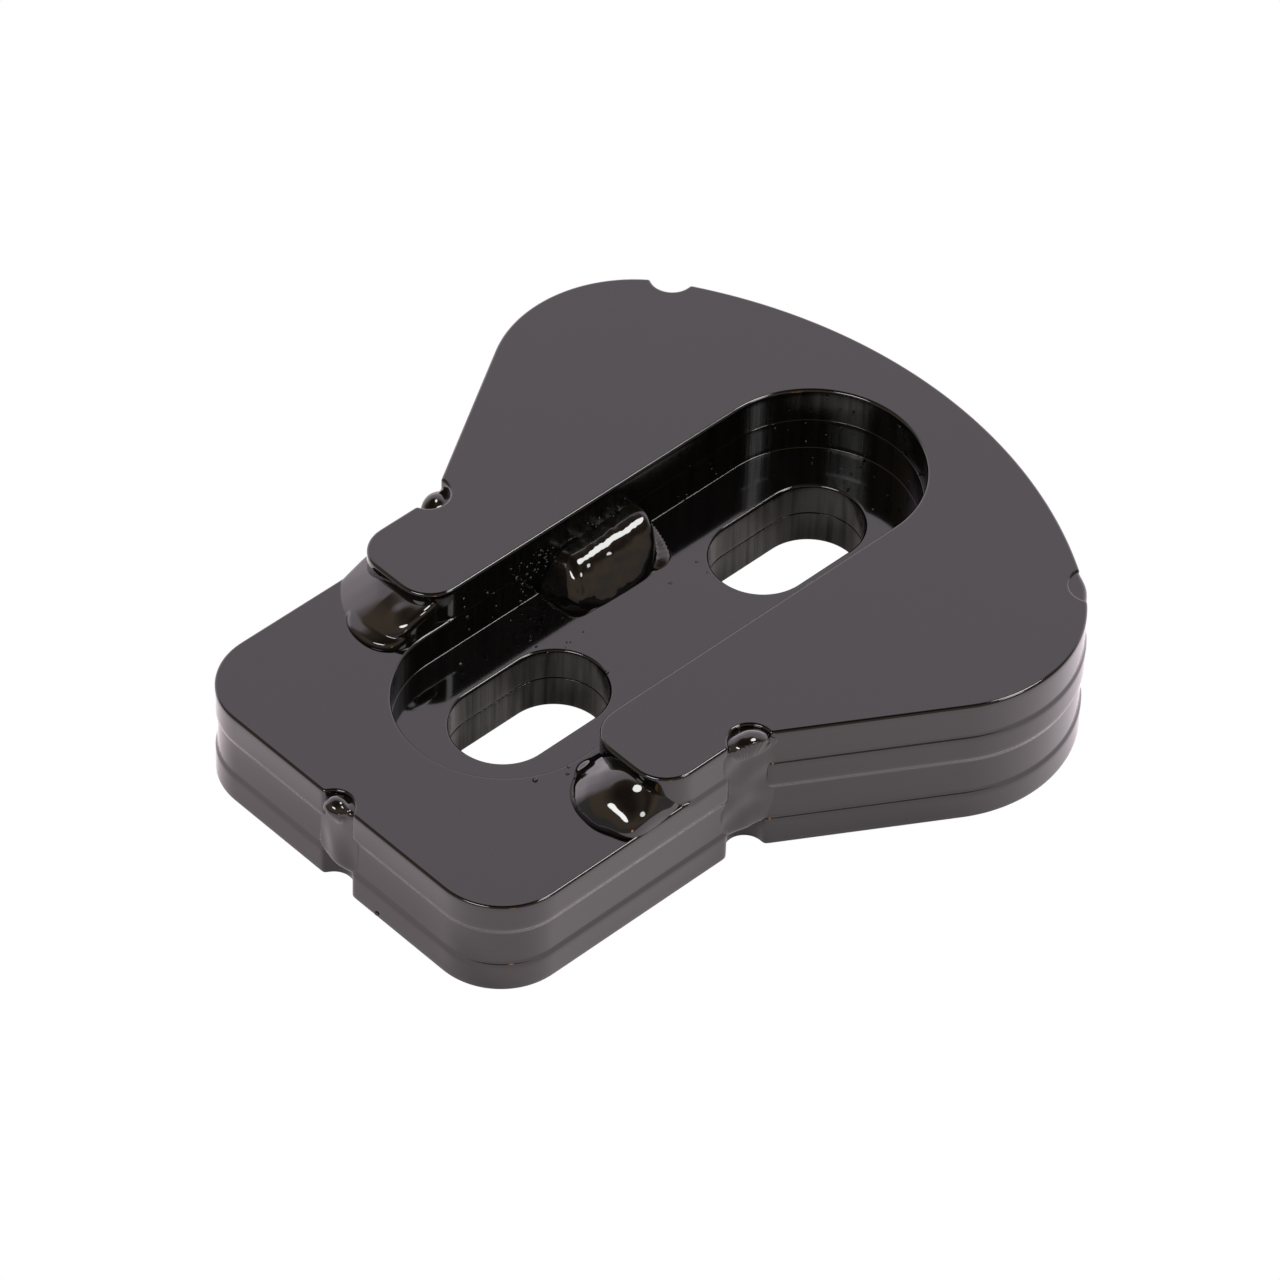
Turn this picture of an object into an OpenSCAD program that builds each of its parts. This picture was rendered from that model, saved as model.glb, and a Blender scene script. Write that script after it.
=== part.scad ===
// Slotted eccentric cam, built up from four equal steel plates.
// The plates are laser cut, stacked, welded at five edge notches, at the two
// finger ends and inside the channel, then coated gloss black as one piece.
// Origin: underside, midway between the two bolt slots. +Y runs from the
// square tail to the cam edge, +Z is the plate normal.

/* [Plates] */
// Thickness of each of the four plates
plate_t = 4.76; // [3:0.01:8]
// Overall length, from tail end to cam crest
length = 100.3; // [80:0.1:140]
// Width of the straight tail
tail_w = 55.8; // [40:0.1:80]
// Radius of the two tail corners
tail_corner_r = 9.2; // [4:0.1:14]
// Distance from the tail end to the neck, where the flanks start to flare
neck_y = 40.4; // [30:0.1:55]
// Flare of each flank away from the length axis, in degrees
flank_angle = 31.5; // [20:0.5:45]
// Radius of the two fan corners
fan_corner_r = 18.8; // [10:0.1:24]
// Radius of the cam edge
cam_r = 65.1; // [50:0.1:90]

/* [Bolt slots] */
// Width of each bolt slot
slot_w = 13.1; // [8:0.1:18]
// End-to-end length of each bolt slot
slot_len = 22.0; // [16:0.1:30]
// Distance from the tail end to the centre of the tail slot
tail_slot_y = 31.0; // [25:0.1:40]
// Distance from the tail end to the centre of the fan slot
fan_slot_y = 74.4; // [60:0.1:85]

/* [Channel] */
// Width of the channel, which clears a washer and a wrench socket
channel_w = 27.1; // [20:0.1:36]
// Distance from the tail end to the near end of the channel
channel_start = 13.1; // [8:0.1:20]
// Distance from the tail end to the far end of the channel
channel_end = 92.3; // [80:0.1:96]

/* [Cap plate] */
// Distance from the tail end to the two finger ends of the cap plate
finger_y = 26.5; // [20:0.1:36]
// Radius of the finger corners
finger_corner_r = 5.0; // [2:0.1:7]

/* [Weld notches] */
// Radius of the half-round edge notches
notch_r = 2.5; // [1.5:0.1:4]
// How far each notch centre lies outside the plate edge
notch_out = 0.6; // [0:0.1:2]
// How far the notch weld stands proud of the plate edge
notch_weld_proud = 0.3; // [0:0.05:1]
// How far the notch weld stops below the top of the stack
notch_weld_sink = 0.5; // [0:0.1:2]
// The same for the left fan notch, which is filled less high
fan_left_weld_sink = 2.6; // [0:0.1:6]
// Open height left at the underside of each notch
notch_weld_start = 3.6; // [0:0.1:6]

/* [Fillet welds] */
// Radius of the finger bead section
finger_bead_r = 6.3; // [3:0.1:8]
// Depth of the finger bead axis below the channel plate's top
finger_bead_drop = 1.8; // [0:0.1:4]
// Length of each finger bead
finger_bead_len = 14.2; // [8:0.1:16]
// Radius of the channel bead section
channel_bead_r = 8.5; // [4:0.1:12]
// Depth of the channel bead axis below the channel floor
channel_bead_drop = 4.0; // [0:0.1:6]
// Length of the channel bead
channel_bead_len = 15.6; // [8:0.1:24]
// Distance from the tail end to the middle of the channel bead
channel_bead_y = 54.0; // [45:0.1:60]
// Rounding of the bead ends
bead_end_r = 3.2; // [1:0.1:5]

/* [Hidden] */
$fn = 96;
coat = [0.10, 0.095, 0.10];
coat_channel = [0.08, 0.075, 0.08];
coat_cap = [0.12, 0.115, 0.12];
coat_weld = [0.15, 0.13, 0.11];

// the row's origin, measured from the tail end
origin_y = (tail_slot_y + fan_slot_y) / 2;

// layer heights
floor_z = 2 * plate_t;
tail_top_z = 3 * plate_t;
top_z = 4 * plate_t;

// cam edge centre, and the circle that rounds each fan corner:
// tangent to the flank and, from inside, to the cam edge
cam_cy = length - cam_r;
flank_dir = [sin(flank_angle), cos(flank_angle)];
flank_in = [-cos(flank_angle), sin(flank_angle)];
neck_pt = [tail_w / 2, neck_y];
reach = neck_pt + fan_corner_r * flank_in - [0, cam_cy];
along = reach * flank_dir;
flank_len = sqrt(along * along - reach * reach + pow(cam_r - fan_corner_r, 2)) - along;
flank_end = neck_pt + flank_len * flank_dir;
corner_c = flank_end + fan_corner_r * flank_in;
corner_angle = atan2(corner_c[1] - cam_cy, corner_c[0]);
fan_tip = [0, cam_cy] + cam_r * [cos(corner_angle), sin(corner_angle)];

// notch centres on the right-hand side, and the way each one faces
neck_face = -flank_angle / 2;
neck_notch = neck_pt + notch_out * [cos(neck_face), sin(neck_face)];
fan_notch = fan_tip + notch_out * [cos(corner_angle), sin(corner_angle)];
tail_notch = [0, -notch_out];

// finger width and clearance lengths for cutting shapes
finger_w = (tail_w - channel_w) / 2;
past = 5;
// how far the fan corner discs stand over their tangent neighbours, so they join
run_on = 0.02;

// ---------- flat shapes, drawn from the tail end ----------

// a slice of a disc between two angles less than 180 degrees apart
module pie(r, from, to) {
    mid = (from + to) / 2;
    far = 3 * r;
    intersection() {
        circle(r = r);
        polygon([[0, 0], far * [cos(from), sin(from)],
                 far * [cos(mid), sin(mid)], far * [cos(to), sin(to)]]);
    }
}

// right half of the plate outline
module half_outline() {
    translate([0, tail_corner_r])
        square([tail_w / 2, neck_y - tail_corner_r]);
    square([tail_w / 2 - tail_corner_r, tail_corner_r]);
    translate([tail_w / 2 - tail_corner_r, tail_corner_r])
        pie(tail_corner_r, -90, 0);
    polygon([[0, neck_y], neck_pt, flank_end, corner_c, [0, corner_c[1]]]);
    translate(corner_c)
        circle(r = fan_corner_r + run_on);
    translate([0, cam_cy])
        pie(cam_r, corner_angle, 90);
}

// the five edge notches
module notches() {
    translate(tail_notch) circle(r = notch_r);
    for (side = [-1, 1]) {
        translate([side * neck_notch[0], neck_notch[1]]) circle(r = notch_r);
        translate([side * fan_notch[0], fan_notch[1]]) circle(r = notch_r);
    }
}

// whole plate outline, shared by all four plates
module outline() {
    difference() {
        union() {
            half_outline();
            mirror([1, 0]) half_outline();
        }
        notches();
    }
}

// a straight slot with round ends, running along Y
module obround(width, from, to) {
    r = width / 2;
    translate([-r, from + r]) square([width, to - from - width]);
    translate([0, from + r]) circle(r = r);
    translate([0, to - r]) circle(r = r);
}

module bolt_slot(centre) {
    obround(slot_w, centre - slot_len / 2, centre + slot_len / 2);
}

// round-cornered end of one cap finger, from its tip to the end of the rounding
module finger_nose() {
    r = finger_corner_r;
    translate([channel_w / 2 + r, finger_y]) square([finger_w - 2 * r, r]);
    translate([channel_w / 2 + r, finger_y + r]) pie(r, 180, 270);
    translate([tail_w / 2 - r, finger_y + r]) pie(r, -90, 0);
}

// ---------- plates ----------

// a plate of the given flat shape, on the given layer of the stack
module layer(index) {
    translate([0, -origin_y, index * plate_t])
        linear_extrude(height = plate_t) children();
}

module slotted_plate(index) {
    layer(index) difference() {
        outline();
        bolt_slot(tail_slot_y);
        bolt_slot(fan_slot_y);
    }
}

module slot_plate_lower() {
    color(coat) slotted_plate(0);
}

module slot_plate_upper() {
    color(coat) slotted_plate(1);
}

module channel_plate() {
    color(coat_channel) layer(2) difference() {
        outline();
        obround(channel_w, channel_start, channel_end);
    }
}

module cap_solid() {
    shoulder = finger_y + finger_corner_r;
    layer(3) union() {
        difference() {
            outline();
            translate([-tail_w, -past]) square([2 * tail_w, shoulder + past]);
            obround(channel_w, channel_start, channel_end);
        }
        finger_nose();
        mirror([1, 0]) finger_nose();
    }
}

module cap_plate() {
    color(coat_cap) cap_solid();
}

// ---------- fillet welds ----------

// a round bar with rounded ends, lying along X and centred on the origin
module bead_bar(r, len) {
    e = bead_end_r;
    rotate([0, 90, 0]) rotate_extrude() {
        translate([0, -len / 2]) square([r - e, len]);
        translate([0, e - len / 2]) square([r, len - 2 * e]);
        translate([r - e, e - len / 2]) pie(e, -90, 0);
        translate([r - e, len / 2 - e]) pie(e, 0, 90);
    }
}

// bead across the end of the right-hand cap finger
module finger_weld() {
    mid_x = channel_w / 2 + finger_w / 2;
    difference() {
        intersection() {
            translate([mid_x, finger_y - origin_y, tail_top_z - finger_bead_drop])
                bead_bar(finger_bead_r, finger_bead_len);
            translate([0, -origin_y, tail_top_z])
                cube([tail_w, finger_y + 1.2, plate_t]);
        }
        cap_solid();
    }
}

module finger_weld_right() {
    color(coat_weld) finger_weld();
}

module finger_weld_left() {
    color(coat_weld) mirror([1, 0, 0]) finger_weld();
}

// bead between the left channel wall and the channel floor
module channel_weld_left() {
    color(coat_weld) intersection() {
        translate([-channel_w / 2, channel_bead_y - origin_y, floor_z - channel_bead_drop])
            rotate([0, 0, 90]) bead_bar(channel_bead_r, channel_bead_len);
        translate([-channel_w / 2, -origin_y, floor_z])
            cube([channel_w / 2, length, plate_t]);
    }
}

// ---------- notch welds ----------

// weld metal in one notch: centre, outward angle and height of its top
module notch_weld(centre, facing, weld_top) {
    face = notch_weld_proud - notch_out;
    translate([centre[0], centre[1] - origin_y, notch_weld_start])
        rotate([0, 0, facing]) intersection() {
            cylinder(r = notch_r, h = weld_top - notch_weld_start);
            translate([face - 2 * notch_r, -2 * notch_r, -past])
                cube([2 * notch_r, 4 * notch_r, weld_top + 2 * past]);
        }
}

module notch_weld_tail() {
    color(coat_weld) notch_weld(tail_notch, -90, tail_top_z - notch_weld_sink);
}

module notch_weld_neck_right() {
    color(coat_weld) notch_weld(neck_notch, neck_face, top_z - notch_weld_sink);
}

module notch_weld_neck_left() {
    color(coat_weld) mirror([1, 0, 0]) notch_weld(neck_notch, neck_face, top_z - notch_weld_sink);
}

module notch_weld_fan_right() {
    color(coat_weld) notch_weld(fan_notch, corner_angle, top_z - notch_weld_sink);
}

module notch_weld_fan_left() {
    color(coat_weld) mirror([1, 0, 0])
        notch_weld(fan_notch, corner_angle, top_z - fan_left_weld_sink);
}

// ---------- assembly ----------

slot_plate_lower();
slot_plate_upper();
channel_plate();
cap_plate();
finger_weld_left();
finger_weld_right();
channel_weld_left();
notch_weld_tail();
notch_weld_neck_left();
notch_weld_neck_right();
notch_weld_fan_left();
notch_weld_fan_right();
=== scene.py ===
"""Slotted eccentric cam: four laser-cut steel plates, welded and coated gloss black.

Lengths in this script are millimetres unless a name says otherwise. Flat shapes are
drawn from the tail end, as in the CAD source, then moved to the row frame.
"""
import math
import bmesh
import bpy
import numpy as np
from mathutils import Matrix, Vector
from mathutils.geometry import delaunay_2d_cdt


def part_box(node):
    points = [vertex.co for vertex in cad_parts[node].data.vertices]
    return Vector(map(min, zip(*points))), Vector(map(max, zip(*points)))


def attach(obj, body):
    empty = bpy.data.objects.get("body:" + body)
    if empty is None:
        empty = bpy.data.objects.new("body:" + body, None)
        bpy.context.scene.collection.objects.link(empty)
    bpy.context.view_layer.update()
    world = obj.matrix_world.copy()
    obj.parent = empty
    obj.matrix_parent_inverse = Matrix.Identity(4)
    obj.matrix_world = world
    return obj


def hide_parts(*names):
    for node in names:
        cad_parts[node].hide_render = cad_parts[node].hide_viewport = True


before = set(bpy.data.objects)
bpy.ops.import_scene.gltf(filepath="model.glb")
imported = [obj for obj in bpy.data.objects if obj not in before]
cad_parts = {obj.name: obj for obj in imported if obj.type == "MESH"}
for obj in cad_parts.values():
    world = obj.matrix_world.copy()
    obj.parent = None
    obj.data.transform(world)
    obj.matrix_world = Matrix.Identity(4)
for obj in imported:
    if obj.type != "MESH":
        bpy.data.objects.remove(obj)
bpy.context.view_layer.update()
MM = 0.001

# ---------------------------------------------------------------- sizes from the CAD
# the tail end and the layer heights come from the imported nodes
TAIL_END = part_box("slot_plate_lower")[0].y / MM
LAYER = [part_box("slot_plate_lower")[0].z / MM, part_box("slot_plate_upper")[0].z / MM,
         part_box("channel_plate")[0].z / MM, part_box("cap_plate")[0].z / MM,
         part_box("cap_plate")[1].z / MM]
FLOOR_Z, TAIL_TOP, TOP = LAYER[2], LAYER[3], LAYER[4]

# plan dimensions, as in the CAD source
LENGTH = 100.3
TAIL_W = 55.8
TAIL_CORNER_R = 9.2
NECK_Y = 40.4
FLANK_ANGLE = math.radians(31.5)
FAN_CORNER_R = 18.8
CAM_R = 65.1
SLOT_W, SLOT_LEN = 13.1, 22.0
TAIL_SLOT_Y, FAN_SLOT_Y = 31.0, 74.4
CHANNEL_W, CHANNEL_START, CHANNEL_END = 27.1, 13.1, 92.3
FINGER_Y, FINGER_CORNER_R = 26.5, 5.0
NOTCH_R, NOTCH_OUT = 2.5, 0.6

# ---------------------------------------------------------------- finish details
STEP = 0.28            # spacing of outline points
CORNER_PASSES = 3      # smoothing passes that soften the sharp notch mouths
EDGE_STEPS = 6         # segments in a rounded edge
WALL_STEPS = 6         # segments down the plain part of a plate edge


# ---------------------------------------------------------------- flat outlines
def arc(centre, r, start, end):
    """Points along an arc, both ends included; angles in radians."""
    n = max(4, math.ceil(abs(end - start) * r / STEP))
    a = np.linspace(start, end, n + 1)
    return np.c_[centre[0] + r * np.cos(a), centre[1] + r * np.sin(a)]


def line(p, q):
    """Points along a straight edge, both ends included."""
    p, q = np.array(p, float), np.array(q, float)
    n = max(2, math.ceil(np.linalg.norm(q - p) / STEP))
    t = np.linspace(0, 1, n + 1)[:, None]
    return p + (q - p) * t


def fan_shape():
    """Flank end, corner centre and corner angle of the right-hand fan corner."""
    along = np.array([math.sin(FLANK_ANGLE), math.cos(FLANK_ANGLE)])
    inward = np.array([-math.cos(FLANK_ANGLE), math.sin(FLANK_ANGLE)])
    neck = np.array([TAIL_W / 2, NECK_Y])
    reach = neck + FAN_CORNER_R * inward - np.array([0, LENGTH - CAM_R])
    b = reach @ along
    run = math.sqrt(b * b - reach @ reach + (CAM_R - FAN_CORNER_R) ** 2) - b
    end = neck + run * along
    centre = end + FAN_CORNER_R * inward
    angle = math.atan2(centre[1] - (LENGTH - CAM_R), centre[0])
    return end, centre, angle


FLANK_END, CORNER_C, CORNER_ANGLE = fan_shape()
CAM_C = np.array([0.0, LENGTH - CAM_R])
FAN_TIP = CAM_C + CAM_R * np.array([math.cos(CORNER_ANGLE), math.sin(CORNER_ANGLE)])


def notch(side, edge_point, angle):
    """Centre and outward angle of a notch, on the right or the left side."""
    c = np.array(edge_point) + NOTCH_OUT * np.array([math.cos(angle), math.sin(angle)])
    return (c, angle) if side > 0 else (c * [-1, 1], math.pi - angle)


NOTCHES = {
    "tail": notch(1, (0.0, 0.0), -math.pi / 2),
    "neck_right": notch(1, (TAIL_W / 2, NECK_Y), -FLANK_ANGLE / 2),
    "neck_left": notch(-1, (TAIL_W / 2, NECK_Y), -FLANK_ANGLE / 2),
    "fan_right": notch(1, FAN_TIP, CORNER_ANGLE),
    "fan_left": notch(-1, FAN_TIP, CORNER_ANGLE),
}


def fan_edge():
    """Right-hand edge from the neck round the fan corner to the cam crest."""
    return [line((TAIL_W / 2, NECK_Y), FLANK_END),
            arc(CORNER_C, FAN_CORNER_R, -FLANK_ANGLE, CORNER_ANGLE),
            arc(CAM_C, CAM_R, CORNER_ANGLE, math.pi / 2)]


def mirrored(parts):
    """A closed counter-clockwise loop from its right-hand half."""
    right = np.vstack(parts)
    return np.vstack([right, right[::-1] * [-1, 1]])


def plate_loop():
    r = TAIL_CORNER_R
    return mirrored([line((0, 0), (TAIL_W / 2 - r, 0)),
                     arc((TAIL_W / 2 - r, r), r, -math.pi / 2, 0),
                     line((TAIL_W / 2, r), (TAIL_W / 2, NECK_Y))] + fan_edge())


def cap_loop():
    half, r = CHANNEL_W / 2, FINGER_CORNER_R
    end = CHANNEL_END - half
    return mirrored([arc((0, end), half, math.pi / 2, 0),
                     line((half, end), (half, FINGER_Y + r)),
                     arc((half + r, FINGER_Y + r), r, math.pi, 1.5 * math.pi),
                     line((half + r, FINGER_Y), (TAIL_W / 2 - r, FINGER_Y)),
                     arc((TAIL_W / 2 - r, FINGER_Y + r), r, -math.pi / 2, 0),
                     line((TAIL_W / 2, FINGER_Y + r), (TAIL_W / 2, NECK_Y))] + fan_edge())


def obround_loop(width, start, end):
    """A round-ended opening, clockwise, so that the metal is on its left."""
    r = width / 2
    loop = mirrored([arc((0, start + r), r, -math.pi / 2, 0),
                     line((r, start + r), (r, end - r)),
                     arc((0, end - r), r, 0, math.pi / 2)])
    return loop[::-1]


def cut_notch(loop, centre):
    """Replaces the stretch of a loop inside a notch circle by the notch's arc."""
    inside = np.linalg.norm(loop - centre, axis=1) < NOTCH_R
    first = int(np.argmax(~inside & np.roll(inside, -1)))
    loop, inside = np.roll(loop, -first, 0), np.roll(inside, -first)
    last = int(np.argmax(~inside[1:])) + 1

    def crossing(p_in, p_out):
        t = np.linspace(0, 1, 200)[:, None]
        pts = p_in + (p_out - p_in) * t
        return pts[np.argmin(abs(np.linalg.norm(pts - centre, axis=1) - NOTCH_R))]

    enter = crossing(loop[1], loop[0]) - centre
    leave = crossing(loop[last - 1], loop[last]) - centre
    a0 = math.atan2(enter[1], enter[0])
    a1 = math.atan2(leave[1], leave[0])
    while a1 > a0:
        a1 -= 2 * math.pi
    return np.vstack([arc(centre, NOTCH_R, a0, a1), loop[last:], loop[:1]])


def even_loop(loop, passes=CORNER_PASSES):
    """Evenly spaced points round a closed loop, with its sharp corners eased."""
    closed = np.vstack([loop, loop[:1]])
    seg = np.linalg.norm(np.diff(closed, axis=0), axis=1)
    at = np.r_[0, np.cumsum(seg)]
    n = int(round(at[-1] / STEP))
    want = np.arange(n) * at[-1] / n
    out = np.c_[np.interp(want, at, closed[:, 0]), np.interp(want, at, closed[:, 1])]
    for _ in range(passes):
        out = (np.roll(out, 1, 0) + 2 * out + np.roll(out, -1, 0)) / 4
    return out


def notched(loop, names):
    for name in names:
        loop = cut_notch(loop, NOTCHES[name][0])
    return loop


def into_metal(loop):
    """Unit normals that point into the metal, which is on the loop's left."""
    t = np.roll(loop, -1, 0) - np.roll(loop, 1, 0)
    t /= np.linalg.norm(t, axis=1)[:, None]
    return np.c_[-t[:, 1], t[:, 0]]


# ---------------------------------------------------------------- mesh helpers
def make_object(name, verts, faces, sharp=()):
    """A smooth-shaded mesh object from points in mm, measured from the tail end."""
    pts = np.array(verts, float) + [0, TAIL_END, 0]
    mesh = bpy.data.meshes.new(name)
    mesh.from_pydata((pts * MM).tolist(), [], faces)
    mesh.validate()
    mesh.polygons.foreach_set("use_smooth", [True] * len(mesh.polygons))
    if sharp:
        wanted = {tuple(sorted(e)) for e in sharp}
        for edge in mesh.edges:
            if tuple(sorted(edge.vertices)) in wanted:
                edge.use_edge_sharp = True
    mesh.update()
    obj = bpy.data.objects.new(name, mesh)
    bpy.context.scene.collection.objects.link(obj)
    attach(obj, "root")
    return obj


def end_curve(spec, loop):
    """Inset and height, per level and loop point, of one end of a plate edge.

    "round" is a quarter round. "step" is an S-curve where the film runs over to a
    neighbour set back by a depth. "pool" is a hollow fillet of film in the corner with
    the plate below. "mix" goes from one of these to another along the loop.
    """
    kind = spec[0]
    if kind == "mix":
        a, b, w = end_curve(spec[1], loop), end_curve(spec[2], loop), spec[3](loop)
        return [p + (q - p) * w for p, q in zip(a, b)]
    t = np.linspace(0, 1, EDGE_STEPS + 1)
    turn = t * math.pi / 2
    if kind == "step":
        inset, height = spec[1] * (1 - t * t * (3 - 2 * t)), spec[2] * t
    else:
        sign = 1 if kind == "round" else -1
        inset, height = sign * spec[1] * (1 - np.sin(turn)), spec[1] * (1 - np.cos(turn))
    return [np.repeat(a[:, None], len(loop), 1) for a in (inset, height)]


def edge_rings(loop, z_low, z_high, back, low, high):
    """Rings of points down a plate edge, from the upper face to the lower."""
    normal = into_metal(loop)
    in_high, h_high = end_curve(high, loop)
    in_low, h_low = end_curve(low, loop)
    levels = [(i, z_high - h) for i, h in zip(in_high, h_high)]
    lowest = [(i, z_low + h) for i, h in zip(in_low, h_low)][::-1]
    for t in np.linspace(0, 1, WALL_STEPS + 1)[1:-1]:
        levels.append((0 * normal[:, 0], levels[EDGE_STEPS][1] * (1 - t) + lowest[0][1] * t))
    return [np.c_[loop + normal * (i + back)[:, None], z] for i, z in levels + lowest]


def inside_loops(points, loops):
    """Even-odd test of points against closed loops."""
    hit = np.zeros(len(points), bool)
    x, y = points[:, 0:1], points[:, 1:2]
    for loop in loops:
        a, b = loop, np.roll(loop, -1, 0)
        spans = (a[None, :, 1] > y) != (b[None, :, 1] > y)
        rise = b[None, :, 1] - a[None, :, 1]
        rise = np.where(np.abs(rise) < 1e-12, 1e-12, rise)
        cross = a[None, :, 0] + (y - a[None, :, 1]) / rise * (b[None, :, 0] - a[None, :, 0])
        hit ^= (spans & (x < cross)).sum(1) % 2 == 1
    return hit


def fill(loops):
    """Triangles over the area inside nested loops, as indices into their points."""
    pts = np.vstack(loops)
    edges, base = [], 0
    for loop in loops:
        n = len(loop)
        edges += [(base + i, base + (i + 1) % n) for i in range(n)]
        base += n
    out = delaunay_2d_cdt([Vector(p) for p in pts], edges, [], 0, 1e-7)
    source = [ids[0] if ids else -1 for ids in out[3]]
    tris = np.array([[source[i] for i in f] for f in out[2]])
    tris = tris[(tris >= 0).all(1)]
    keep = inside_loops(pts[tris].mean(1), loops)
    tris = tris[keep]
    a, b, c = (pts[tris[:, i]] for i in range(3))
    turn = (b[:, 0] - a[:, 0]) * (c[:, 1] - a[:, 1]) - (b[:, 1] - a[:, 1]) * (c[:, 0] - a[:, 0])
    tris[turn < 0] = tris[turn < 0][:, ::-1]
    return tris


def plate(name, layer, loops, ends):
    """A plate with finished edges. ends holds (set-back, lower end, upper end) per loop."""
    z0, z1 = LAYER[layer], LAYER[layer + 1]
    verts, faces, sharp, rim_top, rim_low = [], [], [], [], []
    for loop, (back, low, high) in zip(loops, ends):
        rings = edge_rings(loop, z0, z1, back, low, high)
        n, base = len(loop), len(verts)
        for ring in rings:
            verts.extend(ring.tolist())
        for k in range(len(rings) - 1):
            hi, lo = base + k * n, base + (k + 1) * n
            faces += [(hi + i, lo + i, lo + (i + 1) % n, hi + (i + 1) % n) for i in range(n)]
        rim_top.append((base, n))
        rim_low.append((base + (len(rings) - 1) * n, n))
    for rims, flip in ((rim_top, False), (rim_low, True)):
        index = np.concatenate([np.arange(b, b + n) for b, n in rims])
        flat = [np.array(verts)[b:b + n, :2] for b, n in rims]
        tris = index[fill(flat)]
        faces += [tuple(t[::-1] if flip else t) for t in tris.tolist()]
        for b, n in rims:
            sharp += [(b + i, b + (i + 1) % n) for i in range(n)]
    return make_object(name, verts, faces, sharp=sharp)


# ---------------------------------------------------------------- node helpers
def feed(tree, value, socket):
    """Links an output to an input socket, or sets the socket to a plain value."""
    if isinstance(value, bpy.types.NodeSocket):
        tree.links.new(value, socket)
    else:
        socket.default_value = value


def node(tree, kind, settings=(), **inputs):
    """A new node with its inputs fed by name, where an underscore stands for a space."""
    made = tree.nodes.new("ShaderNode" + kind)
    for name, value in dict(settings).items():
        setattr(made, name, value)
    for name, value in inputs.items():
        feed(tree, value, made.inputs[name.replace("_", " ")])
    return made


def maths(tree, operation, *values):
    """The result of a Math node."""
    made = node(tree, "Math", {"operation": operation})
    for socket, value in zip(made.inputs, values):
        feed(tree, value, socket)
    return made.outputs[0]


def ranged(tree, value, start, end, low=0.0, high=1.0):
    """Turns start to end into low to high, held at both ends."""
    return node(tree, "MapRange", Value=value, From_Min=start, From_Max=end,
                To_Min=low, To_Max=high).outputs["Result"]


def mixed(tree, kind, factor, a, b):
    """From a to b as the factor goes from 0 to 1. kind is VECTOR or RGBA."""
    made = node(tree, "Mix", {"data_type": kind}, Factor=factor, A=a, B=b)
    return next(out for out in made.outputs if out.enabled)


def scaled(tree, vector, factor):
    """A colour or vector times a factor."""
    made = node(tree, "VectorMath", {"operation": "SCALE"}, Scale=factor)
    feed(tree, vector, made.inputs[0])
    return made.outputs["Vector"]


def noise(tree, place, scale, detail):
    return node(tree, "TexNoise", Vector=place, Scale=scale, Detail=detail).outputs["Fac"]


def stretched(tree, place, z_scale):
    """Places squeezed along Z, which stretches a texture upright."""
    return node(tree, "Mapping", Vector=place, Scale=(1, 1, z_scale)).outputs["Vector"]


def bumped(tree, height, depth, before=None):
    """The normal of a bump of the given depth in metres, over an earlier bump."""
    made = node(tree, "Bump", Height=height, Distance=depth)
    if before:
        feed(tree, before, made.inputs["Normal"])
    return made.outputs["Normal"]


def tinted(tree, factor, base, shares, stops=(0.0, 1.0)):
    """The base colour times the first share at the first stop, and so to the second."""
    ramp = node(tree, "ValToRGB", Fac=factor)
    for element, stop, share in zip(ramp.color_ramp.elements, stops, shares):
        element.position = stop
        element.color = (*[c * share for c in base], 1)
    return ramp.outputs["Color"]


# ---------------------------------------------------------------- materials
ENAMEL_IOR = 1.5
PLATE_BLACK = (0.0009, 0.0008, 0.0009)
WELD_BLACK = (0.003, 0.0024, 0.0020)
CUT_BLACK = (0.0008, 0.0007, 0.0007)
PLATE_ROUGH, PLATE_RIPPLE, PLATE_RIPPLE_SCALE = 0.07, 4e-6, 120
WELD_ROUGH, WELD_RIPPLE, WELD_RIPPLE_SCALE = 0.05, 5e-6, 500
DRIFT_SCALE = 60                                # of the tint and gloss, about 17 mm
CUT_ROUGH = (0.13, 0.28)
# texture scale, upright stretch and bump depth of each layer of cutting streaks
CUT_STREAKS = ((1500, 0.02, 2.2e-5), (420, 0.12, 3.0e-5), (4000, 1.0, 3e-6))
SCALE_MARKS, SCALE_STRETCH = 900, 0.06          # dull marks where the cutting left scale
SCALE_EDGE = (0.42, 0.66)
GLOSSY, DULL = 0.56, 0.2                        # specular level between and on the marks


def new_material(name):
    """A node material, its tree, its shader, and the object's own coordinates."""
    mat = bpy.data.materials.new(name)
    mat.use_nodes = True
    tree = mat.node_tree
    place = node(tree, "TexCoord").outputs["Object"]
    return mat, tree, tree.nodes["Principled BSDF"], place


def enamel(name, base, rough, ripple, ripple_scale):
    """Gloss black enamel: its tint and gloss drift, and its film ripples a little."""
    mat, tree, shader, place = new_material(name)
    shader.inputs["IOR"].default_value = ENAMEL_IOR
    drift = noise(tree, place, DRIFT_SCALE, 4)
    colour = tinted(tree, drift, base, (0.8, 1.2), (0.35, 0.7))
    feed(tree, colour, shader.inputs["Base Color"])
    gloss = ranged(tree, drift, 0, 1, rough * 0.8, rough * 1.3)
    feed(tree, gloss, shader.inputs["Roughness"])
    film = noise(tree, place, ripple_scale, 2)
    feed(tree, bumped(tree, film, ripple), shader.inputs["Normal"])
    return mat


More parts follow.
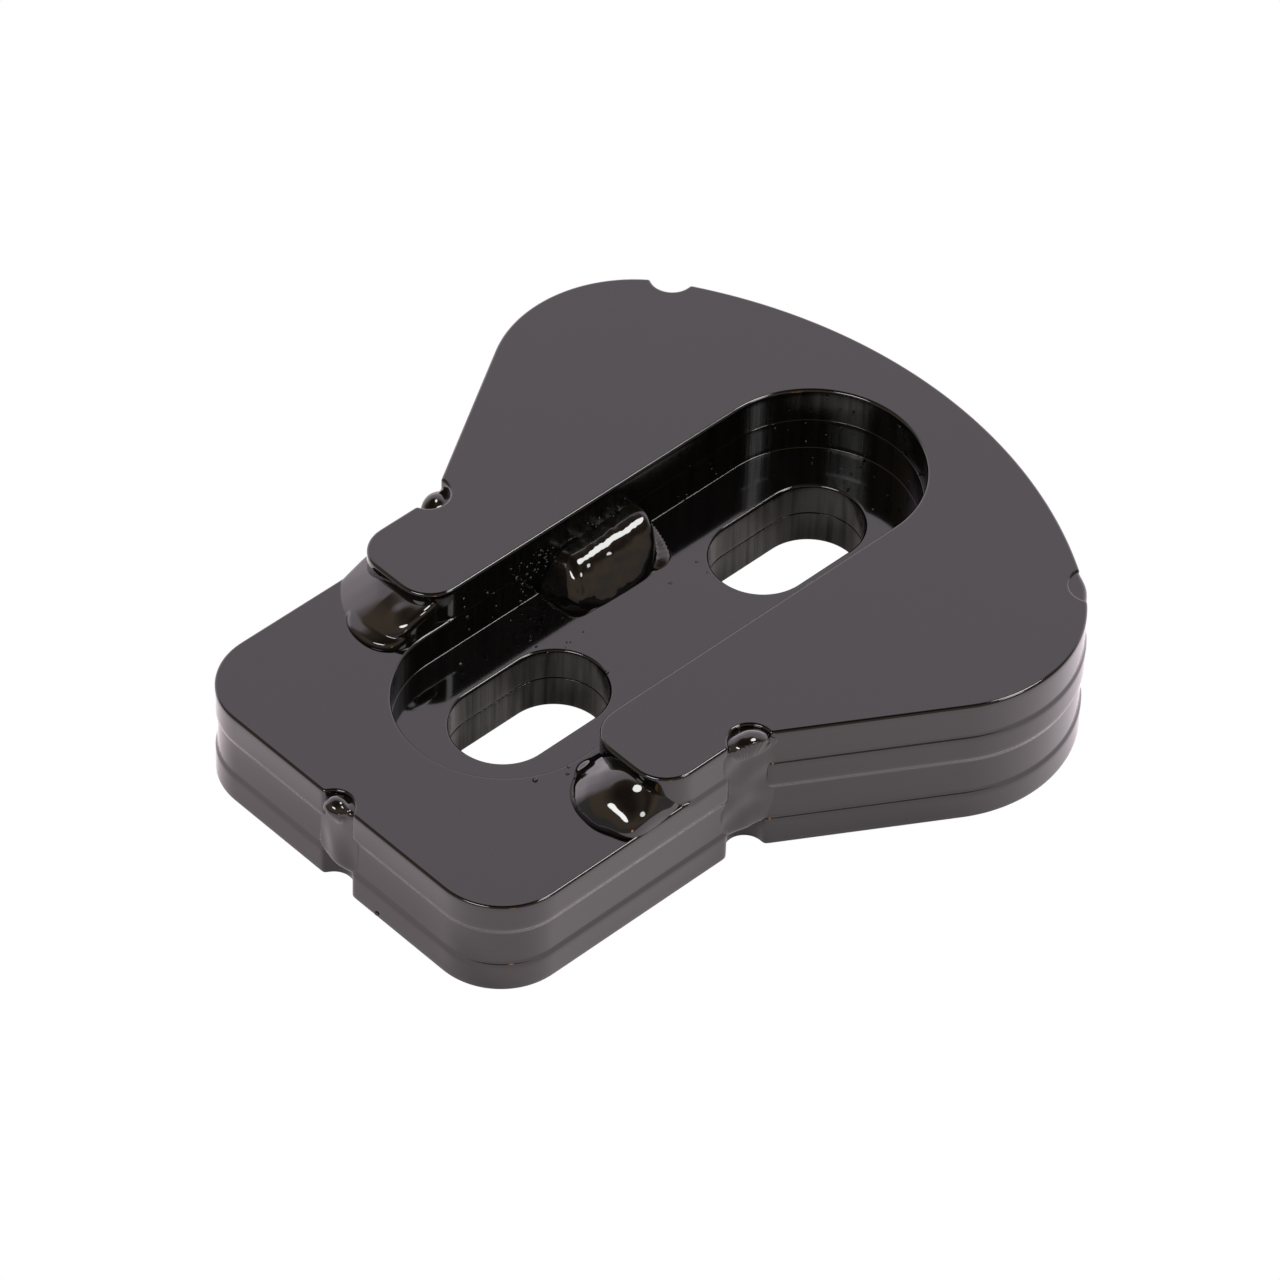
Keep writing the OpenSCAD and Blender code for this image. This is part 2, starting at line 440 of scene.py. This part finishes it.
def cut_edge(name, base):
    """The same enamel over laser-cut edges: fine upright streaks, and less gloss."""
    mat, tree, shader, place = new_material(name)
    shader.inputs["IOR"].default_value = ENAMEL_IOR
    normal = None
    for scale, stretch, depth in CUT_STREAKS:
        grain = noise(tree, stretched(tree, place, stretch), scale, 3)
        normal = bumped(tree, grain, depth, normal)
    feed(tree, normal, shader.inputs["Normal"])
    feed(tree, ranged(tree, grain, 0, 1, *CUT_ROUGH), shader.inputs["Roughness"])
    marks = noise(tree, stretched(tree, place, SCALE_STRETCH), SCALE_MARKS, 4)
    level = ranged(tree, marks, *SCALE_EDGE, GLOSSY, DULL)
    feed(tree, level, shader.inputs["Specular IOR Level"])
    feed(tree, tinted(tree, grain, base, (0.7, 1.3)), shader.inputs["Base Color"])
    return mat


PLATE_COAT = enamel("coated_plate", PLATE_BLACK, PLATE_ROUGH, PLATE_RIPPLE, PLATE_RIPPLE_SCALE)
WELD_COAT = enamel("coated_weld", WELD_BLACK, WELD_ROUGH, WELD_RIPPLE, WELD_RIPPLE_SCALE)
CUT_COAT = cut_edge("coated_cut_edge", CUT_BLACK)
WALL_MARGIN = 0.3      # how far past the channel a wall face may lie
UPRIGHT = 0.6          # faces whose normal leans less than this to Z count as walls


def coat_inner_walls(obj):
    """Gives the walls of the slots and the channel the cut-edge coat."""
    obj.data.materials.append(CUT_COAT)
    for face in obj.data.polygons:
        x, y = face.center.x / MM, face.center.y / MM - TAIL_END
        beside = abs(x) < CHANNEL_W / 2 + WALL_MARGIN
        along = CHANNEL_START - WALL_MARGIN < y < CHANNEL_END + WALL_MARGIN
        if beside and along and abs(face.normal.z) < UPRIGHT:
            face.material_index = 1


def coat(obj, mat):
    obj.data.materials.clear()
    obj.data.materials.append(mat)
    return obj


# ---------------------------------------------------------------- plates
SET_BACK = 0.26        # how far the upper slot plate and the cap sit behind the others
RIM_LOW = ("round", 0.35)
RIM_HIGH = ("round", 0.35)
CAP_RIM = ("round", 0.40)
SLOT_SEAM_OVER = ("round", 0.28)
SLOT_SEAM_UNDER = ("round", 0.05)
HAIR_SEAM = ("round", 0.08)
DARK_SEAM = ("step", SET_BACK, 0.80)
LIGHT_SEAM = ("step", SET_BACK, 0.95)
FLAT = ("step", 0.0, 0.30)
POOL = ("pool", 0.22)
THIN_POOL = ("pool", 0.12)
COVERED_Y = FINGER_Y + FINGER_CORNER_R
# lengths over which one edge shape turns into another
COVER_FADE, FAR_FADE, NOSE_FADE = 1.5, 3.0, 0.5


def covered(loop):
    """1 where the cap lies over a plate edge, 0 where that edge is open."""
    return np.clip((loop[:, 1] - COVERED_Y) / COVER_FADE + 1, 0, 1)


def far_end(loop):
    """1 round the far end of the channel, 0 along its straight walls."""
    return np.clip((loop[:, 1] - (CHANNEL_END - CHANNEL_W / 2)) / FAR_FADE, 0, 1)


def off_the_nose(loop):
    """0 on the finger noses, which stand on the tail's top, and 1 on other cap edges."""
    return np.clip((loop[:, 1] - COVERED_Y) / NOSE_FADE + 1, 0, 1)


def build_plates():
    outline = even_loop(notched(plate_loop(), NOTCHES))
    cap = even_loop(notched(cap_loop(), ["neck_right", "neck_left", "fan_right", "fan_left"]))
    slots = [even_loop(obround_loop(SLOT_W, c - SLOT_LEN / 2, c + SLOT_LEN / 2), 1)
             for c in (TAIL_SLOT_Y, FAN_SLOT_Y)]
    channel = even_loop(obround_loop(CHANNEL_W, CHANNEL_START, CHANNEL_END), 1)
    slot_low, slot_high = (0, RIM_LOW, SLOT_SEAM_UNDER), (0, SLOT_SEAM_OVER, RIM_HIGH)
    made = [
        plate("lower_slot_plate", 0, [outline] + slots,
              [(0, RIM_LOW, DARK_SEAM), slot_low, slot_low]),
        plate("upper_slot_plate", 1, [outline] + slots,
              [(SET_BACK, FLAT, FLAT), slot_high, slot_high]),
        plate("channel_frame_plate", 2, [outline, channel],
              [(0, LIGHT_SEAM, ("mix", RIM_HIGH, DARK_SEAM, covered)),
               (0, THIN_POOL, ("mix", RIM_HIGH, ("mix", FLAT, HAIR_SEAM, far_end), covered))]),
        plate("cap_top_plate", 3, [cap],
              [(SET_BACK, ("mix", POOL, FLAT, off_the_nose), CAP_RIM)]),
    ]
    cad_nodes = ("slot_plate_lower", "slot_plate_upper", "channel_plate", "cap_plate")
    for obj, cad_node in zip(made, cad_nodes):
        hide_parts(cad_node)
        coat(obj, PLATE_COAT)
        coat_inner_walls(obj)


# ---------------------------------------------------------------- weld shapes
def smooth_min(a, b, k):
    h = np.clip(0.5 + 0.5 * (b - a) / k, 0, 1)
    return b * (1 - h) + a * h - k * h * (1 - h)


def smooth_max(a, b, k):
    return -smooth_min(-a, -b, k)


def blob(centre, radii, yaw=0.0, k=0.8):
    """A rounded lump for solid(): distance to an ellipsoid turned about Z, and its blend."""
    c, r = np.array(centre, float), np.array(radii, float)
    a = math.radians(yaw)
    turn = np.array([[math.cos(a), -math.sin(a), 0], [math.sin(a), math.cos(a), 0], [0, 0, 1]])

    def distance(p):
        q = (p - c) @ turn
        k0 = np.linalg.norm(q / r, axis=1)
        return k0 * (k0 - 1) / np.maximum(np.linalg.norm(q / r ** 2, axis=1), 1e-9)
    return distance, k


def ripples(p, size, seed):
    """Smooth noise of about unit height with waves of about the given size."""
    rng = np.random.default_rng(seed)
    total = np.zeros(len(p))
    for _ in range(7):
        way = rng.normal(size=3)
        way *= rng.uniform(0.7, 1.4) * 2 * math.pi / size / np.linalg.norm(way)
        total += np.sin(p @ way + rng.uniform(0, 2 * math.pi))
    return total / 3


SOLID_LEVEL = 6        # subdivisions of the ball of rays that solid() follows
REACH = 16.0           # longest ray
RAY_STEPS = 90         # coarse steps along a ray
HALVINGS = 14          # halvings of the step in which the surface lies


def union(blobs):
    """The blended union of blobs, as one distance function."""
    def distance(p):
        total = blobs[0][0](p)
        for part, k in blobs[1:]:
            total = smooth_min(total, part(p), k)
        return total
    return distance


def solid(name, distance, centre, spread):
    """A closed mesh of the surface distance = 0, seen along rays from a point inside."""
    bm = bmesh.new()
    bmesh.ops.create_icosphere(bm, subdivisions=SOLID_LEVEL, radius=1.0)
    ways = np.array([v.co for v in bm.verts]) * spread
    faces = [[v.index for v in f.verts] for f in bm.faces]
    bm.free()
    ways /= np.linalg.norm(ways, axis=1)[:, None]
    centre = np.array(centre, float)
    inner, outer = np.zeros(len(ways)), np.full(len(ways), REACH)
    open_ray = np.ones(len(ways), bool)
    for r in np.linspace(0, REACH, RAY_STEPS)[1:]:
        out = distance(centre + ways * r) > 0
        outer[open_ray & out] = r
        open_ray &= ~out
        inner[open_ray] = r
    for _ in range(HALVINGS):
        middle = (inner + outer) / 2
        out = distance(centre + ways * middle[:, None]) > 0
        outer[out], inner[~out] = middle[out], middle[~out]
    return make_object(name, centre + ways * ((inner + outer) / 2)[:, None], faces)


# ---------------------------------------------------------------- welds
BURIED = 0.7           # how deep a bead reaches into the plate that it stands on
SIDE_GAP = 0.05        # a finger bead stops this far inside the tail's side
FOOT_BLEND = 0.3       # softening where a bead is cut off below
SIDE_BLEND = 0.5       # and where it is cut off at the tail's side


def footprint(p, centre, radii, power=3.0):
    """About the distance in plan outside a squarish oval."""
    q = np.abs(p[:, :2] - centre) / radii
    return ((q ** power).sum(1) ** (1 / power) - 1) * min(radii)


def finger_bead_right():
    """One big smooth lump across the right nose, and a small one by the channel."""
    top = TAIL_TOP
    lumps = [blob((21.1, 27.6, top - 0.9), (6.7, 7.8, 3.9)),
             blob((22.5, 25.7, top - 1.1), (5.0, 5.6, 5.0), k=1.6),
             blob((26.0, 24.2, top - 0.3), (1.9, 2.9, 2.3), k=1.7),
             blob((15.7, 25.8, top), (1.2, 1.7, 1.2), k=0.4)]
    body = union(lumps)

    def shape(p):
        d = body(p) + 0.012 * ripples(p, 2.4, 11)
        d = smooth_max(d, p[:, 0] - (TAIL_W / 2 - SIDE_GAP), SIDE_BLEND)
        return smooth_max(d, top - BURIED - p[:, 2], FOOT_BLEND)
    return solid("right_finger_bead", shape, (21.6, 25.4, top + 0.6), (1.4, 1, 0.8))


def finger_bead_left():
    """A run that leans on the left nose, with a second lap at its toe."""
    top, nose = TAIL_TOP, FINGER_Y

    def shape(p):
        x, down, z = p[:, 0], nose - p[:, 1], p[:, 2] - top
        # the run falls away from the nose, and to the outer side from x = -19.5
        out = np.clip((-19.5 - x) / 7.0, 0, 2)
        face = 0.80 * (z - 4.3 + 0.58 * down + 0.022 * down ** 2 + 2.6 * out ** 1.3)
        ridge = 0.93 * (z - 4.0 + 0.32 * down + 2.7 * out ** 1.3)
        d = smooth_max(face, ridge, 1.2)
        # it stays below the cap's top, and inside an oval in plan
        d = smooth_max(d, z - 3.6, 0.9)
        d = smooth_max(d, footprint(p, (-21.7, 26.4), (8.0, 5.6), 2.4), 1.0)
        # the second lap at its toe, and its round inner end
        lap = 0.85 * (z - 1.5 + 0.25 * (down - 3.0) + 0.03 * (x + 18) ** 2)
        lap = smooth_max(lap, footprint(p, (-18.7, 24.3), (4.8, 4.3), 2.2), 0.6)
        d = smooth_min(d, lap, 0.12)
        d = smooth_min(d, blob((-16.5, 25.8, top), (2.5, 3.0, 3.0))[0](p), 0.6)
        d = d + 0.005 * ripples(p, 3.4, 23)
        # cut off at the tail's side, at the channel and below
        d = smooth_max(d, -x - (TAIL_W / 2 - SIDE_GAP), SIDE_BLEND)
        d = smooth_max(d, x + CHANNEL_W / 2 + 0.1, 1.2)
        return smooth_max(d, -BURIED - z, FOOT_BLEND)
    return solid("left_finger_bead", shape, (-20.6, 25.2, top + 0.3), (1.5, 1, 0.8))


def channel_bead():
    """A long steep-faced fillet, its ridge standing off the channel wall."""
    wall, low = -CHANNEL_W / 2, FLOOR_Z

    def shape(p):
        x, y, z = p[:, 0] - wall, p[:, 1], p[:, 2] - low
        # a steep face and a flat back meet in a ridge, which climbs towards the fan
        climb = 0.045 * (y - 54)
        face = 0.64 * (z - climb - 8.3 + 1.15 * x + 0.02 * (x - 4.5) ** 2)
        back = 0.98 * (z - climb - 5.2 - 0.12 * (x - 2.7))
        d = smooth_max(face, back, 1.9)
        # its tail end slopes down, and a lower lap runs on at its far end
        d = smooth_max(d, 0.52 * (z - 1.6 * (y - 44.9) + 0.12 * x), 1.3)
        d = smooth_max(d, footprint(p, (wall + 0.6, 53.0), (7.1, 8.4), 2.3), 0.9)
        lap = 0.75 * (z - 2.5 + 0.40 * (x - 1.0) + 0.12 * (y - 60))
        lap = smooth_max(lap, footprint(p, (wall + 1.0, 59.8), (6.2, 3.0), 2.4), 0.4)
        d = smooth_min(d, lap, 0.2)
        d = d + 0.022 * ripples(p, 2.2, 37) + 0.003 * ripples(p, 0.9, 38)
        # cut off inside the wall and below
        d = smooth_max(d, -x - 1.2, FOOT_BLEND)
        return smooth_max(d, -BURIED - z, FOOT_BLEND)
    return solid("channel_bead", shape, (wall + 2.2, 53.5, low + 1.2), (1, 1.8, 1))


# ---------------------------------------------------------------- spatter
SPATTER_SEED = 91
UNEVEN = 0.18          # how far a drop is from round
WALL_SINK, FLOOR_SINK = 0.3, 0.2   # share of its radius by which a drop is sunk


def spatter():
    """Small drops of weld metal, coated with the rest, as one piece."""
    rng = np.random.default_rng(SPATTER_SEED)
    wall, verts, faces = CHANNEL_W / 2, [], []

    def drop(place, r):
        bm = bmesh.new()
        bmesh.ops.create_icosphere(bm, subdivisions=2, radius=r)
        squash = 1 + UNEVEN * rng.normal(size=3)
        base = len(verts)
        verts.extend((np.array([v.co for v in bm.verts]) * squash + place).tolist())
        faces.extend([[base + v.index for v in f.verts] for f in bm.faces])
        bm.free()

    # thick on the channel's left wall beside its bead, thinner further along
    for y0, y1, z0, z1, count in ((41, 48, 10, 17, 42), (48, 62, 14, 17, 16),
                                  (32, 41, 10, 17, 10), (62, 78, 10, 16, 8)):
        for _ in range(count):
            r = rng.uniform(0.10, 0.24)
            drop((-wall - WALL_SINK * r, rng.uniform(y0, y1), rng.uniform(z0, z1)), r)
    # over the channel's round far end
    for _ in range(34):
        turn, r = rng.uniform(0.1, 2.9), rng.uniform(0.09, 0.22)
        out = wall + WALL_SINK * r
        drop((out * math.cos(turn), CHANNEL_END - wall + out * math.sin(turn),
              rng.uniform(FLOOR_Z + 0.3, TOP - 0.8)), r)
    # on the channel floor near the bead and near the far end
    for x0, x1, y0, y1, count in ((-13, -4, 38, 46, 12), (-6, -2, 58, 64, 5),
                                  (-9, 6, 86, 91, 10)):
        for _ in range(count):
            r = rng.uniform(0.08, 0.2)
            drop((rng.uniform(x0, x1), rng.uniform(y0, y1), FLOOR_Z - FLOOR_SINK * r), r)
    # single drops on the open faces
    for place, r in (((12.8, 20.0, TAIL_TOP), 0.34), ((7.0, 0.0, 0.7), 0.30),
                     ((2.0, 42.0, FLOOR_Z), 0.22), ((-10.9, 29.6, FLOOR_Z), 0.30),
                     ((14.6, 23.6, TAIL_TOP), 0.22), ((13.9, 24.4, TAIL_TOP), 0.18)):
        drop(place, r)
    return make_object("weld_spatter", verts, faces)


# ---------------------------------------------------------------- notch welds
SUNK = 0.40            # how deep the side borders of a notch weld lie
FILL_START = 3.6       # height at which the notch welds start
FILL_REACH = 3.8       # farthest they spread from the notch centre
FILL_SPREAD = 2.5      # half-width of their bulge
FILL_LEAN = 0.6        # sideways drift of the bulge from foot to top
FILL_SHOULDER = 0.45   # the fill under a crown stops this far below its top
EDGE_BLEND = 0.8       # softening at the neck's corner and at a fill's foot


def edge_distance(name, p):
    """Signed distance in plan from the plate edge beside a notch, positive outside."""
    side = -1 if name.endswith("left") else 1
    q = p[:, :2] * [side, 1]
    if name == "tail":
        return -q[:, 1]
    if name.startswith("neck"):
        out = np.array([math.cos(FLANK_ANGLE), -math.sin(FLANK_ANGLE)])
        tail_side = q[:, 0] - TAIL_W / 2
        flank = (q - [TAIL_W / 2, NECK_Y]) @ out
        return smooth_min(tail_side, flank, EDGE_BLEND)
    corner = np.linalg.norm(q - CORNER_C, axis=1) - FAN_CORNER_R
    crest = np.linalg.norm(q - CAM_C, axis=1) - CAM_R
    turn = np.arctan2(q[:, 1] - CORNER_C[1], q[:, 0] - CORNER_C[0])
    return np.where(turn < CORNER_ANGLE, corner, crest)


def notch_fill(name, piece, top, crown, seed, proud=0.28):
    """A weld that fills a notch flush with the plate edges, under a domed crown.

    crown holds the outward and sideways shift of the dome from the notch centre, its
    rise above top, and its radii. It is None where the weld ends without a dome.
    """
    start = FILL_START
    centre, angle = NOTCHES[name]
    out = np.array([math.cos(angle), math.sin(angle)])
    side = np.array([-out[1], out[0]])
    dome = None
    if crown:
        shift_out, shift_side, rise, radii = crown
        place = centre + out * shift_out + side * shift_side
        dome, _ = blob((*place, top + rise - radii[2]), radii, math.degrees(angle))

    def shape(p):
        across = (p[:, :2] - centre) @ side
        z = p[:, 2]
        lean = FILL_LEAN * (z - (start + top) / 2) / (top - start)
        bulge = (proud + SUNK) * np.exp(-((across - lean) / FILL_SPREAD) ** 2) - SUNK
        bulge = bulge + 0.09 * ripples(p, 5.0, seed)
        d = edge_distance(name, p) - bulge
        d = smooth_max(d, np.linalg.norm(p[:, :2] - centre, axis=1) - FILL_REACH, 0.3)
        d = smooth_max(d, z - (top - FILL_SHOULDER), 0.9)
        d = smooth_max(d, start - z, EDGE_BLEND)
        if dome:
            d = smooth_min(d, dome(p) + 0.015 * ripples(p, 1.6, seed + 1), 0.6)
        return d

    inside = centre - out * 1.7
    height = (top - start) / 5
    return solid(piece, shape, (*inside, (start + top) / 2), (1, 1, height))


def build_welds():
    made = [
        (finger_bead_right(), "finger_weld_right"),
        (finger_bead_left(), "finger_weld_left"),
        (channel_bead(), "channel_weld_left"),
        (notch_fill("tail", "tail_notch_fill", TAIL_TOP,
                    (-0.55, -0.15, 0.5, (1.6, 1.7, 1.6)), 5), "notch_weld_tail"),
        (notch_fill("neck_right", "right_neck_notch_fill", TOP,
                    (-0.5, 0.0, 0.5, (1.9, 2.7, 1.5)), 6), "notch_weld_neck_right"),
        (notch_fill("neck_left", "left_neck_notch_fill", TOP - 0.5,
                    (-0.9, 0.0, 0.2, (1.3, 1.8, 1.3)), 7), "notch_weld_neck_left"),
        (notch_fill("fan_right", "right_fan_notch_fill", TOP + 0.2, None, 8, 0.12),
         "notch_weld_fan_right"),
        (notch_fill("fan_left", "left_fan_notch_fill", TOP - 2.6, None, 9, 0.12),
         "notch_weld_fan_left"),
    ]
    for obj, cad_node in made:
        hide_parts(cad_node)
        coat(obj, WELD_COAT)
    coat(spatter(), WELD_COAT)


build_plates()
build_welds()


# ---------------------------------------------------------------- camera, floor and light
CAM_AZIMUTH = math.radians(45.09)
CAM_ELEVATION = math.radians(45.08)
CAM_ROLL = math.radians(2.236)
CAM_DISTANCE = 0.94094
CAM_SENSOR, CAM_LENS = 36, 217.08
CAM_NEAR, CAM_FAR = 0.05, 20
CAM_AIM = Vector((0.00068, -0.00394, 0.00952))

FLOOR_HALF = 6.0
FLOOR_DROP = 0.0001                    # below the underside, so that no faces coincide
STRIP = (("X", 0.010), ("Y", 0.038))   # half sizes of the shaded strip under the slots
STRIP_EDGE = 0.002
PAPER_SHADED = (0.66, 0.62, 0.62, 1)
PAPER_OPEN = (0.97, 0.92, 0.96, 1)
PAPER_GLOW, GLOW_COLOUR = 0.31, (1.0, 0.93, 1.08, 1)
CONTACT = 0.0004                       # shorter rays end in the gap under the object

SWEEP_WHITE = (1.0, 0.90, 0.97)
ROOM_GREY, ROOM_WARM = (0.42, 0.40, 0.41), (0.73, 0.56, 0.42)
LAMP_WAY = (0.878, -0.467, 0.105)
LAMP_EDGE = (5.5, 4.5)                 # degrees from its middle
LAMP_AMBER = (9.0, 4.2, 0.9)
LIGHT_DISTANCE = 1.6


def build_camera():
    back = Vector((math.sin(CAM_AZIMUTH) * math.cos(CAM_ELEVATION),
                   -math.cos(CAM_AZIMUTH) * math.cos(CAM_ELEVATION),
                   math.sin(CAM_ELEVATION)))
    right = Vector((math.cos(CAM_AZIMUTH), math.sin(CAM_AZIMUTH), 0))
    up = back.cross(right)
    c, s = math.cos(CAM_ROLL), math.sin(CAM_ROLL)
    axes = Matrix((c * right + s * up, c * up - s * right, back)).transposed().to_4x4()
    data = bpy.data.cameras.new("camera")
    data.sensor_width = CAM_SENSOR
    data.lens = CAM_LENS
    data.clip_start, data.clip_end = CAM_NEAR, CAM_FAR
    cam = bpy.data.objects.new("camera", data)
    cam.matrix_world = Matrix.Translation(CAM_AIM + back * CAM_DISTANCE) @ axes
    bpy.context.scene.collection.objects.link(cam)
    bpy.context.scene.camera = cam


def build_floor():
    """White paper to the camera, lit paper to reflections, and clear from below."""
    mesh = bpy.data.meshes.new("floor")
    corners = [(-1, -1), (1, -1), (1, 1), (-1, 1)]
    mesh.from_pydata([(x * FLOOR_HALF, y * FLOOR_HALF, -FLOOR_DROP) for x, y in corners],
                     [], [(0, 1, 2, 3)])
    floor = bpy.data.objects.new("floor", mesh)
    bpy.context.scene.collection.objects.link(floor)
    mat, tree, shader, place = new_material("floor_paper")
    shader.inputs["Roughness"].default_value = 0.9
    shader.inputs["Specular IOR Level"].default_value = 0.1
    # under the slots the paper lay in deep shadow, so a strip of it is darker
    split = node(tree, "SeparateXYZ", Vector=place)
    away = [maths(tree, "ABSOLUTE", split.outputs[axis]) for axis, _ in STRIP]
    beyond = [ranged(tree, reach, half, half + STRIP_EDGE)
              for reach, (_, half) in zip(away, STRIP)]
    is_open = maths(tree, "MAXIMUM", *beyond)
    paper = mixed(tree, "RGBA", is_open, PAPER_SHADED, PAPER_OPEN)
    feed(tree, paper, shader.inputs["Base Color"])
    # the open paper glows, but not in the thin gap under the object
    path = node(tree, "LightPath")
    in_air = maths(tree, "GREATER_THAN", path.outputs["Ray Length"], CONTACT)
    glow = maths(tree, "MULTIPLY", maths(tree, "MULTIPLY", is_open, in_air), PAPER_GLOW)
    shader.inputs["Emission Color"].default_value = GLOW_COLOUR
    feed(tree, glow, shader.inputs["Emission Strength"])
    clean = node(tree, "Emission", Color=(1, 1, 1, 1))
    above = node(tree, "MixShader", Fac=path.outputs["Is Camera Ray"])
    tree.links.new(shader.outputs["BSDF"], above.inputs[1])
    tree.links.new(clean.outputs["Emission"], above.inputs[2])
    sheet = node(tree, "MixShader", Fac=node(tree, "NewGeometry").outputs["Backfacing"])
    tree.links.new(above.outputs["Shader"], sheet.inputs[1])
    tree.links.new(node(tree, "BsdfTransparent").outputs["BSDF"], sheet.inputs[2])
    tree.links.new(sheet.outputs["Shader"], tree.nodes["Material Output"].inputs["Surface"])
    mesh.materials.append(mat)


def build_world():
    """A white sweep on the far side, a dim room on the near side, and a small lamp."""
    world = bpy.data.worlds.new("studio")
    bpy.context.scene.world = world
    world.use_nodes = True
    tree = world.node_tree
    tree.nodes.clear()
    way = node(tree, "TexCoord").outputs["Generated"]
    split = node(tree, "SeparateXYZ", Vector=way)
    x, y, height = (split.outputs[axis] for axis in "XYZ")
    # far is 1 straight away from the camera's side and -1 towards it
    far = maths(tree, "ADD", maths(tree, "MULTIPLY", x, -math.sin(CAM_AZIMUTH)),
                maths(tree, "MULTIPLY", y, math.cos(CAM_AZIMUTH)))
    # the sweep fills the far side up to a height, and is brightest low down
    sweep = maths(tree, "MULTIPLY", ranged(tree, far, 0.28, 0.48),
                  ranged(tree, height, 0.86, 0.78))
    white = scaled(tree, SWEEP_WHITE, ranged(tree, height, 0.0, 0.60, 2.6, 1.80))
    # the room is grey low down, warm above that, and dark overhead
    tone = mixed(tree, "VECTOR", ranged(tree, height, 0.28, 0.46), ROOM_GREY, ROOM_WARM)
    room = scaled(tree, tone, ranged(tree, height, 0.70, 0.97, 1.0, 0.12))
    # and it is darker high up on the right
    corner = maths(tree, "MULTIPLY", ranged(tree, maths(tree, "ADD", x, y), 0.70, 0.95),
                   ranged(tree, height, 0.50, 0.66))
    dim = maths(tree, "SUBTRACT", 1.0, maths(tree, "MULTIPLY", corner, 0.75))
    walls = mixed(tree, "VECTOR", sweep, scaled(tree, room, dim), white)
    # a small amber lamp stands low on the camera's side
    lamp = node(tree, "VectorMath", {"operation": "DOT_PRODUCT"})
    feed(tree, way, lamp.inputs[0])
    feed(tree, LAMP_WAY, lamp.inputs[1])
    disc = ranged(tree, lamp.outputs["Value"],
                  *[math.cos(math.radians(degrees)) for degrees in LAMP_EDGE])
    total = node(tree, "VectorMath")
    feed(tree, walls, total.inputs[0])
    feed(tree, scaled(tree, LAMP_AMBER, disc), total.inputs[1])
    back = node(tree, "Background", Color=total.outputs["Vector"])
    out = node(tree, "OutputWorld")
    tree.links.new(back.outputs["Background"], out.inputs["Surface"])


def softbox(name, azimuth, elevation, distance, size, strength):
    """An oval light aimed at the object, unseen by the camera.

    Its power is the strength times pi and its width and height in metres.
    """
    data = bpy.data.lights.new(name, "AREA")
    data.shape = "ELLIPSE"
    data.size, data.size_y = size
    data.energy = strength * math.pi * size[0] * size[1]
    a, e = math.radians(azimuth), math.radians(elevation)
    place = Vector((math.sin(a) * math.cos(e), -math.cos(a) * math.cos(e), math.sin(e)))
    obj = bpy.data.objects.new(name, data)
    obj.location = place * distance
    obj.rotation_mode = "QUATERNION"
    obj.rotation_quaternion = place.to_track_quat("Z", "Y")
    obj.visible_camera = False
    bpy.context.scene.collection.objects.link(obj)


def build_lights():
    softbox("right_box", 113, 48, LIGHT_DISTANCE, (0.36, 0.40), 12)
    softbox("left_box", 8, 52, LIGHT_DISTANCE, (0.75, 0.32), 17)
    softbox("top_box", 164, 64, LIGHT_DISTANCE, (0.50, 0.42), 15)


build_camera()
build_floor()
build_world()
build_lights()
bpy.context.scene.view_settings.view_transform = "Standard"
bpy.context.scene.view_settings.look = "None"
